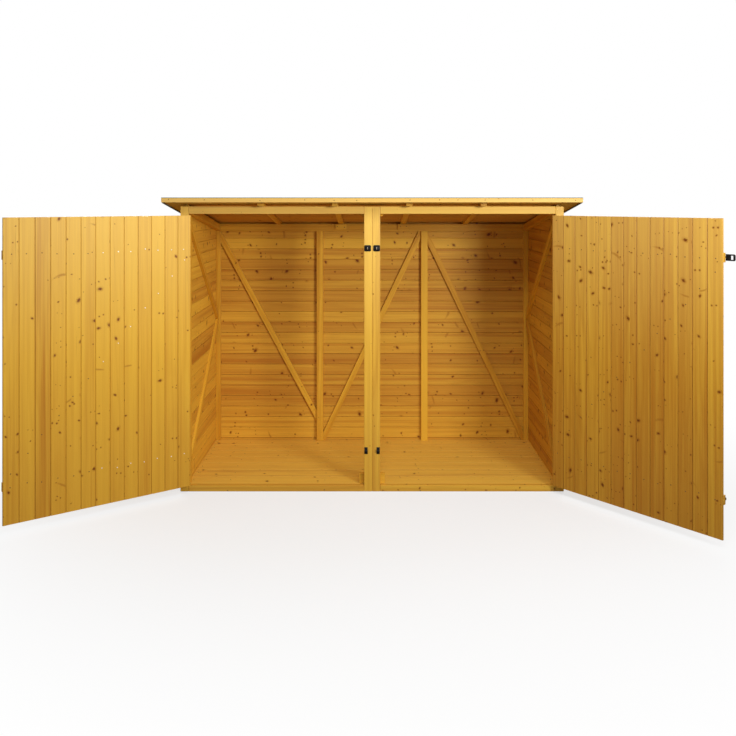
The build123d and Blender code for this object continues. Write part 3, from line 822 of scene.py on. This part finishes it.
class SHELTER_OT_roof_felt(bpy.types.Operator):
    """Roofing felt, turned down at the sides and the back"""
    bl_idname = "shelter.roof_felt"
    bl_label = "Roof felt"

    def execute(self, context):
        piece = from_node("roof_felt", "felt_sheet")
        apply_bevel(piece, FELT_EDGE)
        dress(piece, finish_for("felt"), "shed", "roofing_felt", "roof_felt")
        return {"FINISHED"}


IRONWORK = {
    "shed": ["hinge_plates", "hasp_staples", "bolt_keepers"],
    "left_door": ["left_hinge_straps", "left_hasp_base", "left_door_bolt"],
    "right_door": ["right_hinge_straps", "right_hasp_base", "right_door_bolt"],
    "left_hasp": ["left_hasp_leaf"],
    "right_hasp": ["right_hasp_leaf"],
}
IRON_EDGE = 0.35 * MM
PLATE_CORNER = 6 * MM
NOSE_HIGHLIGHT = 4 * MM            # painted highlight on each loop, from its nose


class SHELTER_OT_ironwork(bpy.types.Operator):
    """Hinges, hasps, bolts and keepers with softened edges"""
    bl_idname = "shelter.ironwork"
    bl_label = "Ironwork"

    def execute(self, context):
        for body, nodes in IRONWORK.items():
            for node in nodes:
                piece = from_node(node, f"{node}_iron")
                if node == "hasp_staples":
                    self.round_plates(piece)
                apply_bevel(piece, IRON_EDGE, 1)
                focus(piece)
                bpy.ops.object.shade_smooth_by_angle(angle=math.radians(35))
                dress(piece, finish_for("iron"), body, "black_ironwork", node)
                if node == "hasp_staples":
                    self.highlight_loop_noses(piece)
        return {"FINISHED"}

    def round_plates(self, piece):
        """Round the four corners of each staple's plate."""
        front = limits("left_post")[0].y
        low, high = limits("hasp_staples")

        def is_corner(edge):
            a, b = (vert.co for vert in edge.verts)
            straight_out = abs(a.z - b.z) + abs(a.x - b.x) < 0.01 * MM
            at_end = min(abs(a.z - low.z), abs(a.z - high.z)) < 0.1 * MM
            return straight_out and at_end and max(a.y, b.y) > front - 0.1 * MM

        focus(piece)
        bpy.ops.object.mode_set(mode="EDIT")
        pick(piece, "edges", is_corner)
        bpy.ops.mesh.bevel(offset=PLATE_CORNER, segments=3, affect="EDGES")
        bpy.ops.object.mode_set(mode="OBJECT")

    def highlight_loop_noses(self, piece):
        """Bare steel on the nose of each loop, a painted highlight."""
        nose = limits("hasp_staples")[0].y + NOSE_HIGHLIGHT
        piece.data.materials.append(finish_for("nose_highlight"))
        for face in piece.data.polygons:
            if face.center.y < nose:
                face.material_index = 1


# Nails and screws are modelled once, facing +Z, with few faces because hundreds are copied.
# Their places are in mm, across from the middle of the shed and up from the ground.

JOISTS = (0, 237.5, 712.5, 901)
SILL_NAILS = (-712, -237, 237, 712)
SILL_NAIL_LEVEL = 8
FASCIA_NAILS = (-985, -809, -547, -325, -182, -73, 182, 324, 416, 547, 780, 985)

# Screws of each iron part: places across, levels of the door's ledges, places above and below
# that level, and the part's thickness
LOW_LEDGE, HIGH_LEDGE = 203, 1205
DOOR_SCREWS = {
    "strap": ((877, 812, 747, 682), (LOW_LEDGE, HIGH_LEDGE), (0,), 2.5),
    "hasp base": ((66, 81), (HIGH_LEDGE,), (-8, 8), 2.0),
    "bolt": ((67, 91), (LOW_LEDGE,), (-10, 10), 2.0),
}
SHED_SCREWS = {
    "hinge plate": ((926,), (LOW_LEDGE, HIGH_LEDGE), (-28, 0, 28), 2.5),
    "staple": ((11, 34), (HIGH_LEDGE,), (-10, 10), 2.0),
    "keeper": ((30,), (LOW_LEDGE,), (-11.7, 11.7), 2.0),
}


def facing(direction):
    return Vector(direction).to_track_quat("Z", "Y").to_matrix().to_4x4()


def round_head(radius, rise, sides, rim, segments):
    """A low cylinder with an eased rim, half sunk at its own middle."""
    deselect()
    bpy.ops.mesh.primitive_cylinder_add(vertices=sides, radius=radius, depth=2 * rise)
    piece = bpy.context.object
    bpy.ops.object.mode_set(mode="EDIT")
    pick(piece, "edges", lambda e: min(v.co.z for v in e.verts) > 0.9 * rise)
    bpy.ops.mesh.bevel(offset=rim, segments=segments, affect="EDGES")
    bpy.ops.object.mode_set(mode="OBJECT")
    return piece


def nail_head(radius):
    """Low head with a chamfered rim."""
    return round_head(radius, 0.3 * radius, 8, 0.4 * radius, 1)


def screw_head(radius):
    """Pan head with a rounded rim and a cross recess."""
    rise = 0.62 * radius
    piece = round_head(radius, rise, 14, 0.45 * radius, 2)
    for long_way in ((1.15, 0.28), (0.28, 1.15)):
        deselect()
        bpy.ops.mesh.primitive_cube_add(size=1, location=(0, 0, rise),
                                        scale=(long_way[0] * radius, long_way[1] * radius, rise))
        bit = bpy.context.object
        focus(piece)
        recess = piece.modifiers.new("Recess", "BOOLEAN")
        recess.operation = "DIFFERENCE"
        recess.solver = "EXACT"
        recess.object = bit
        bpy.ops.object.modifier_apply(modifier=recess.name)
        bpy.data.objects.remove(bit)
    return piece


def fasten(head, name, places, finish, body, slot=None):
    """Copies of a head at each place, as one piece on a body."""
    piece = lay(head, name, places)
    focus(piece)
    bpy.ops.object.shade_smooth_by_angle(angle=math.radians(40))
    dress(piece, finish_for(finish), body, slot)


def course_middles(sizes, top):
    """Heights of the middles of the wall boards below a height."""
    level = sizes.first_joint - sizes.wall_course / 2
    found = []
    while level < top:
        found.append(level)
        level += sizes.wall_course
    return found


class SHELTER_OT_door_nails(bpy.types.Operator):
    """Nails through the door boards into the ledges and the brace"""
    bl_idname = "shelter.door_nails"
    bl_label = "Door nails"

    def execute(self, context):
        sizes = context.scene.shelter_boards
        ledge_half = 20 * MM
        plated = 7                # boards from the left door's hinge whose nails stayed bright
        stray = 6                 # mm that a nail is off its line, at most
        chance = random.Random(61)
        for word, side in SIDES.items():
            low, high = closed_limits(f"{word}_door_boards", word)
            foot, head = [corner.z for corner in closed_limits(f"{word}_door_ledges", word)]
            brace_foot, brace_head = [c.z for c in closed_limits(f"{word}_door_brace", word)]
            cover = (high.x - low.x) / sizes.door_count
            places = {"zinc": [], "glazed_nail": []}
            for i in range(sizes.door_count):
                share = (i + 0.5) / sizes.door_count
                slanting = brace_head + share * (brace_foot - brace_head)
                key = "zinc" if side < 0 and i < plated else "glazed_nail"
                for level in (foot + ledge_half, head - ledge_half, slanting):
                    at = (low.x + (i + 0.5) * cover + chance.uniform(-stray, stray) * MM, high.y,
                          level + chance.uniform(-stray, stray) * MM)
                    places[key].append(swung(word) @ Matrix.Translation(at) @ facing((0, 1, 0)))
            for key, found in places.items():
                if found:
                    fasten(nail_head(sizes.nail_head), f"{word}_door_{key}_heads", found, key,
                           f"{word}_door")
        return {"FINISHED"}


class SHELTER_OT_shed_nails(bpy.types.Operator):
    """Nails of the walls, floor, sills, fascia and cleats"""
    bl_idname = "shelter.shed_nails"
    bl_label = "Shed nails"

    def execute(self, context):
        sizes = context.scene.shelter_boards
        chance = random.Random(71)
        stray = 4                 # mm that a nail is off its line, at most
        half_stud, below_top = 19 * MM, 10 * MM
        low, high = limits("back_wall")
        corner = (limits("left_wall_studs")[0].x + limits("left_wall_studs")[1].x) / 2
        stud = limits("back_studs")[1].x - half_stud
        spots = []
        for level in course_middles(sizes, high.z - below_top):
            spots += [((x, high.y, level), (0, 1, 0)) for x in (corner, -stud, stud, -corner)]
        front_line, rear_line = 14 * MM, high.y - 19.5 * MM
        for word, side in SIDES.items():
            low, high = limits(f"{word}_wall")
            face = low.x if side < 0 else high.x
            start, normal = roof_line()
            for y in (low.y + front_line, rear_line):
                top = start.z - (y - start.y) * normal.y / normal.z
                spots += [((face, y, level), (side, 0, 0))
                          for level in course_middles(sizes, top - below_top)]
        low, high = limits("floor_deck")
        cover = (high.y - low.y) / sizes.floor_count
        for x in sorted({sign * joist * MM for joist in JOISTS for sign in (-1, 1)}):
            spots += [((x, low.y + (i + 0.5) * cover, high.z), (0, 0, 1))
                      for i in range(sizes.floor_count)]
        front = limits("left_sill")[0].y
        spots += [((x * MM, front, SILL_NAIL_LEVEL * MM), (0, -1, 0)) for x in SILL_NAILS]
        low, high = limits("rafter_cleats")
        cleat_middle = high.x - 33 * MM
        spots += [((side * cleat_middle + shift * MM, low.y, (low.z + high.z) / 2), (0, -1, 0))
                  for side in (-1, 1) for shift in (-20, 20)]
        low, high = limits("fascia")
        spots += [((x * MM, low.y, (low.z + high.z) / 2), (0, -1, 0)) for x in FASCIA_NAILS]
        places = []
        for point, way in spots:
            loose = [chance.uniform(-stray, stray) * MM * (0 if part else 1) for part in way]
            places.append(Matrix.Translation(Vector(point) + Vector(loose)) @ facing(way))
        fasten(nail_head(sizes.nail_head), "shed_nail_heads", places, "glazed_nail", "shed")
        return {"FINISHED"}


class SHELTER_OT_felt_nails(bpy.types.Operator):
    """Flat-headed clout nails along the edges of the felt"""
    bl_idname = "shelter.felt_nails"
    bl_label = "Felt nails"

    def execute(self, context):
        sizes = context.scene.shelter_boards
        low, high = limits("roof_felt")
        fall = frame_fall()
        inset = 18 * MM
        x_end, y_start, y_end = high.x - inset, low.y + inset, high.y - inset
        across = max(2, round(2 * x_end / sizes.clout_pitch))
        deep = max(2, round((y_end - y_start) / sizes.clout_pitch))
        points = [(-x_end + 2 * x_end * i / across, y) for i in range(across + 1)
                  for y in (y_start, y_end)]
        points += [(x, y_start + (y_end - y_start) * i / deep) for i in range(1, deep)
                   for x in (-x_end, x_end)]
        way = facing((0, fall, 1))
        places = [Matrix.Translation((x, y, high.z - fall * (y - low.y))) @ way for x, y in points]
        fasten(nail_head(sizes.clout_head), "clout_heads", places, "zinc", "shed")
        return {"FINISHED"}


class SHELTER_OT_screws(bpy.types.Operator):
    """Black pan-head screws of the hinges, hasps, bolts and keepers"""
    bl_idname = "shelter.screws"
    bl_label = "Screws"

    def execute(self, context):
        radius = context.scene.shelter_boards.screw_head
        on_shed = []
        for word, side in SIDES.items():
            places = [swung(word) @ place for place in self.places(DOOR_SCREWS, side)]
            fasten(screw_head(radius), f"{word}_door_screws", places, "iron", f"{word}_door",
                   "black_ironwork")
            on_shed += self.places(SHED_SCREWS, side)
        fasten(screw_head(radius), "shed_screws", on_shed, "iron", "shed", "black_ironwork")
        return {"FINISHED"}

    def places(self, parts, side):
        """Screws of one side, on the faces of their iron parts, with the doors closed."""
        sunk = 0.3 * MM
        front = limits("left_post")[0].y
        return [Matrix.Translation((side * x * MM, front - thick * MM + sunk,
                                    level * MM + rise * MM)) @ facing((0, -1, 0))
                for across, levels, rises, thick in parts.values()
                for x in across for level in levels for rise in rises]


PHOTO_SHIFT = (-0.0056, -0.2269)      # of the lens, as the photo is framed
WHITE = (1.0, 1.0, 1.0, 1.0)


class SHELTER_OT_stage(bpy.types.Operator):
    """Camera, soft lamps and a pale floor"""
    bl_idname = "shelter.stage"
    bl_label = "Stage"

    def execute(self, context):
        studio = context.scene.shelter_studio
        front = limits("left_post")[0].y
        deselect()
        bpy.ops.object.camera_add(location=(0, front - studio.eye_distance, studio.eye_height),
                                  rotation=(math.radians(90), 0, 0))
        camera = bpy.context.object
        camera.data.lens = studio.lens
        camera.data.sensor_width = 36
        camera.data.shift_x, camera.data.shift_y = PHOTO_SHIFT
        context.scene.camera = camera
        self.backdrop(context, studio)
        self.lamps(studio, front)
        self.floor()
        context.scene.view_settings.view_transform = "Standard"
        return {"FINISHED"}

    def backdrop(self, context, studio):
        """White to the eye, plain soft light on the object."""
        world = bpy.data.worlds.new("Plain surroundings")
        context.scene.world = world
        world.use_nodes = True
        tree = world.node_tree
        tree.nodes.clear()
        path = add(tree, "ShaderNodeLightPath", (), None)
        seen = path["Is Camera Ray"]
        for ray in ("Is Glossy Ray", "Is Transmission Ray"):
            seen = add(tree, "ShaderNodeMath", [seen, path[ray]], operation="MAXIMUM")
        strength = add(tree, "ShaderNodeMapRange", [seen, 0, 1, studio.sky, 1])
        light = add(tree, "ShaderNodeBackground", [WHITE, strength])
        add(tree, "ShaderNodeOutputWorld", {"Surface": light}, None)

    def lamps(self, studio, front):
        """A soft box at the right whose grid keeps its light on the upper part, a high lamp, and
        two behind that light the outer walls."""
        rear = front + 3.8
        for name, place, aim, size, power, spread in (
                ("Key lamp", (2.05, front - 2.9, 1.85), (-0.3, front, 2.3), 0.8, studio.key, 115),
                ("High lamp", (0.4, front - 2.6, 3.4), (0.4, front, 1.0), 1.4, studio.high, 180),
                ("Left rear lamp", (-2.6, rear, 2.2), (0, 0.3, 0.6), 1.6, studio.rear, 180),
                ("Right rear lamp", (2.6, rear, 2.2), (0, 0.3, 0.6), 1.6, studio.rear, 180)):
            bpy.ops.object.light_add(type="AREA", location=place)
            lamp = bpy.context.object
            lamp.name = name
            lamp.data.shape = "SQUARE"
            lamp.data.size = size
            lamp.data.energy = power
            lamp.data.spread = math.radians(spread)
            lamp.rotation_euler = (Vector(aim) - Vector(place)).to_track_quat("-Z", "Y").to_euler()

    def floor(self):
        """Pale paint that fades to the backdrop's white and keeps the shadow near the shelter."""
        near, far_off, least = 0.9, 2.6, 0.6      # metres from and to which the glow grows
        thrown, shown = 0.35, 0.86                # how white it is to the shelter, to the eye
        bpy.ops.mesh.primitive_plane_add(size=60)
        floor = bpy.context.object
        floor.name = "studio_floor"
        material, tree = new_material("Matt white studio paint")
        place = add(tree, "ShaderNodeTexCoord", (), "Object")
        far = add(tree, "ShaderNodeVectorMath", [place], "Value", operation="LENGTH")
        fade = add(tree, "ShaderNodeMapRange", [far, near, far_off, least, 1.0], **SMOOTH)
        seen = add(tree, "ShaderNodeLightPath", (), "Is Camera Ray")
        share = add(tree, "ShaderNodeMath", [fade, seen], operation="MULTIPLY")
        paint = add(tree, "ShaderNodeMapRange", [seen, 0, 1, thrown, shown])
        matt = add(tree, "ShaderNodeBsdfDiffuse", {"Color": paint})
        glow = add(tree, "ShaderNodeEmission", [WHITE, 1.0])
        finish_material(material, add(tree, "ShaderNodeMixShader", [share, matt, glow]))
        floor.data.materials.append(material)


class SHELTER_PT_panel(bpy.types.Panel):
    """Lists the groups of pieces"""
    bl_idname = "SHELTER_PT_panel"
    bl_label = "Bicycle shelter"
    bl_space_type = "VIEW_3D"
    bl_region_type = "UI"
    bl_category = "Shelter"

    def draw(self, context):
        for group in (context.scene.shelter_boards, context.scene.shelter_finishes,
                      context.scene.shelter_studio):
            box = self.layout.box()
            for key in group.__annotations__:
                box.prop(group, key)
        for operator in OPERATORS:
            self.layout.operator(operator.bl_idname)


OPERATORS = (SHELTER_OT_stage, SHELTER_OT_door_boards, SHELTER_OT_wall_boards,
             SHELTER_OT_floor_boards, SHELTER_OT_roof_boards, SHELTER_OT_framing,
             SHELTER_OT_roof_felt, SHELTER_OT_ironwork, SHELTER_OT_door_nails,
             SHELTER_OT_shed_nails, SHELTER_OT_felt_nails, SHELTER_OT_screws)
GROUPS = {"shelter_boards": BoardSizes, "shelter_finishes": Finishes,
          "shelter_studio": StudioSettings}


def register():
    for group in GROUPS.values():
        bpy.utils.register_class(group)
    for name, group in GROUPS.items():
        setattr(bpy.types.Scene, name, PointerProperty(type=group))
    for operator in OPERATORS:
        bpy.utils.register_class(operator)
    bpy.utils.register_class(SHELTER_PT_panel)


def unregister():
    bpy.utils.unregister_class(SHELTER_PT_panel)
    for operator in reversed(OPERATORS):
        bpy.utils.unregister_class(operator)
    for name in GROUPS:
        delattr(bpy.types.Scene, name)
    for group in reversed(GROUPS.values()):
        bpy.utils.unregister_class(group)


def main():
    register()
    for operator in OPERATORS:
        group, name = operator.bl_idname.split(".")
        getattr(getattr(bpy.ops, group), name)()


if __name__ == "__main__":
    main()
